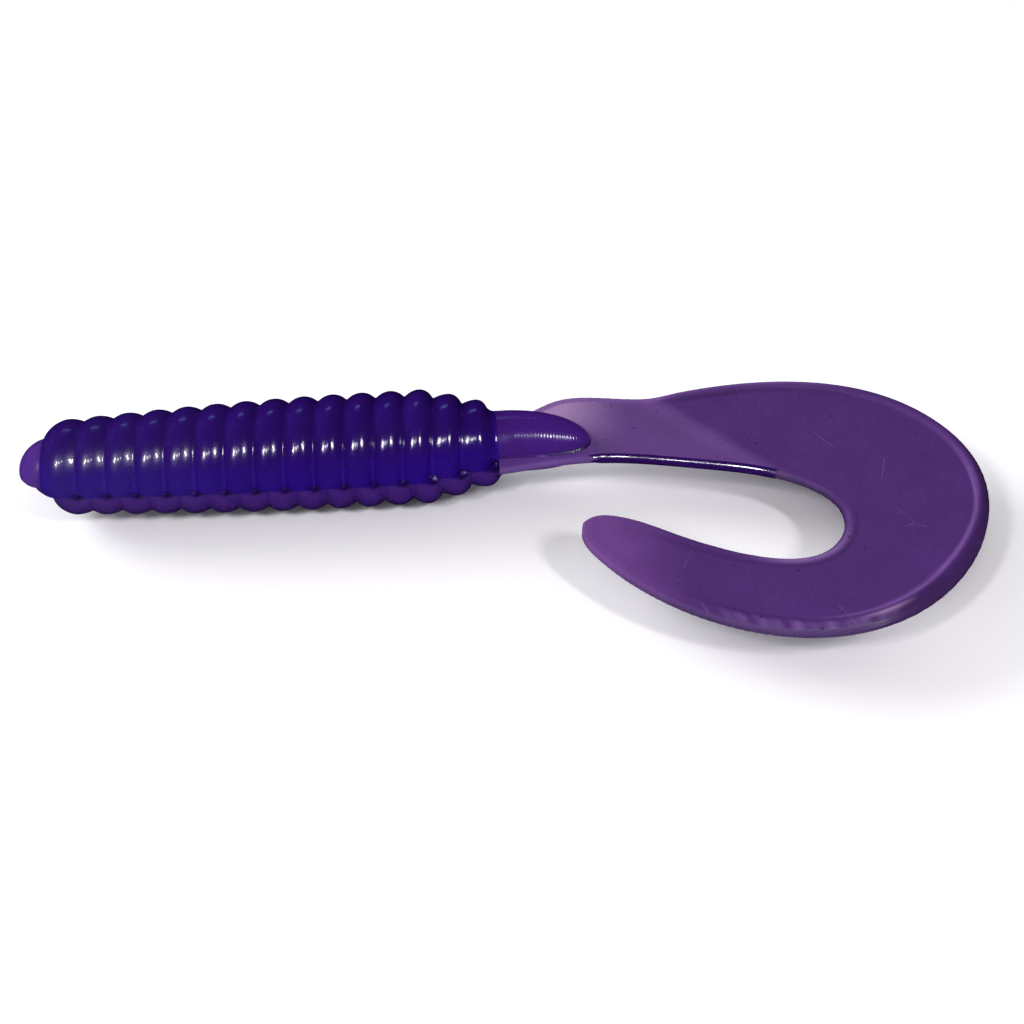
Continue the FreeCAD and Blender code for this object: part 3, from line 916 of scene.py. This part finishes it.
def bend_rings(piece, ring):
    """A ring beside a flexing groove, and the last one at the neck, is left unattached; the rest ride on
    their body.
    """
    bodies = ("front", "fore", "middle", "aft", "rear")
    for number, (parent, child) in enumerate(zip(bodies, bodies[1:])):
        groove = 3 * (number + 1)
        if ring in (groove, groove + 1):
            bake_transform(piece)
            return
    if ring == RINGS:
        bend_neck(piece)
        return
    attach(piece, bodies[(ring - 1) // 3])


def bend_neck(piece):
    """The last ring and the stalk are left unattached at the neck."""
    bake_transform(piece)


def bend_blade(piece):
    """The piece is left unattached, with its place baked into its mesh."""
    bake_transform(piece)


nose = make_nose()
settle(nose, nose_plastic)
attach(nose, "front")
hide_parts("nose")

webs = {3: "flex_web_1", 6: "flex_web_2", 9: "flex_web_3", 12: "flex_web_4"}
for ring in range(1, RINGS + 1):
    piece = make_ring(ring)
    settle(piece, body_plastic)
    bend_rings(piece, ring)
    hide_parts(f"ring_{ring:02d}", *([webs[ring]] if ring in webs else []))

stalk = make_stalk()
settle(stalk, stalk_plastic)
bend_neck(stalk)
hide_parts("tail_stalk", "neck_web")

# Each length of web or blade: its two stations, faces along it, joint, slot and CAD nodes
LENGTHS = (
    ("stalk_web_skin", "root", "web_seam", 60, "tail_swing", "web", ("stalk_web",)),
    ("root_web_skin", "web_seam", "upper_seam", 120, "blade_fold", "web", ("root_web",)),
    ("upper_arm_skin", "upper_seam", "bend_seam", 90, "upper_curl", "blade", ("blade_upper",)),
    ("bend_skin", "bend_seam", "arm_seam", 90, "lower_curl", "blade", ("blade_bend",)),
    ("lower_arm_skin", "arm_seam", "tip", 110, "tip_curl", "blade", ("blade_lower", "blade_tip")),
)
for name, first, last, steps, joint, slot, nodes in LENGTHS:
    piece = blade_length(name, first, last, steps)
    settle(piece, blade_plastic)
    bend_blade(piece)
    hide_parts(*nodes)

for name, start_x, end_x, steps, joint in (
        ("keel_front", KEEL_START, KEEL_SEAM, 40, "tail_swing"),
        ("keel_rear", KEEL_SEAM, KEEL_END, 90, "blade_fold")):
    piece = keel_bar(name, start_x, end_x, steps)
    settle(piece, keel_plastic)
    bend_blade(piece)
    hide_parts("keel")


# ---------------------------------------------------------------- floor, light and camera
def make_floor():
    bm = bmesh.new()
    bmesh.ops.create_grid(bm, x_segments=2, y_segments=2, size=3)
    for vert in bm.verts:
        vert.co.z = cad_box[0][2]
    mesh = bpy.data.meshes.new("floor")
    bm.to_mesh(mesh)
    bm.free()
    floor = bpy.data.objects.new("floor", mesh)
    bpy.context.scene.collection.objects.link(floor)
    material, shader = plain_material("pale_floor", 0.8)
    shader.inputs["Base Color"].default_value = (0.92, 0.92, 0.92, 1)
    shader.inputs["Specular IOR Level"].default_value = 0.1
    mesh.materials.append(material)
    floor.visible_glossy = False


def lamp(name, direction, distance, size, power, colour):
    data = bpy.data.lights.new(name, "AREA")
    data.shape = "RECTANGLE"
    data.size, data.size_y = size
    data.energy, data.color = power, colour
    light = bpy.data.objects.new(name, data)
    bpy.context.scene.collection.objects.link(light)
    middle = Vector((30 * MM, -5 * MM, 0))
    light.location = middle + Vector(direction).normalized() * distance
    light.rotation_euler = (light.location - middle).to_track_quat("Z", "Y").to_euler()
    return light


def make_camera():
    target = Vector((51.9, -11.5, 0)) * MM
    distance, height, side = 209.4 * MM, math.radians(42), math.radians(5.2)
    data = bpy.data.cameras.new("camera")
    data.lens, data.sensor_width = 70.3, 36
    camera = bpy.data.objects.new("camera", data)
    bpy.context.scene.collection.objects.link(camera)
    away = Vector((-math.sin(side) * math.cos(height), -math.cos(side) * math.cos(height), math.sin(height)))
    camera.location = target + away * distance
    camera.rotation_euler = away.to_track_quat("Z", "Y").to_euler()
    bpy.context.scene.camera = camera


make_floor()
lamp("key_left", (-0.43, -0.56, 0.71), 0.6, (0.045, 0.11), 1.1, (0.97, 0.93, 1.0))
lamp("key_right", (0.468, -0.537, 0.704), 0.6, (0.045, 0.11), 1.1, (0.97, 0.93, 1.0))
lamp("key_middle", (0.02, -0.60, 0.80), 0.6, (0.03, 0.05), 0.12, (1.0, 0.97, 1.0))
lamp("key_low", (-0.165, -0.610, 0.764), 0.6, (0.08, 0.05), 0.3, (1.0, 0.97, 1.0))
lamp("sky", (-0.05, 0.743, 0.669), 0.7, (0.22, 0.07), 0.09, (0.35, 0.5, 1.0))
window = lamp("window", (-0.75, 0.45, 0.42), 0.7, (0.5, 0.35), 5.0, (0.97, 0.97, 1.0))
window.visible_glossy = False
world = bpy.data.worlds.new("room")
world.use_nodes = True
world.node_tree.nodes["Background"].inputs["Color"].default_value = (0.42, 0.42, 0.42, 1)
world.cycles_visibility.glossy = False
bpy.context.scene.world = world
bpy.context.scene.view_settings.view_transform = "Standard"
make_camera()
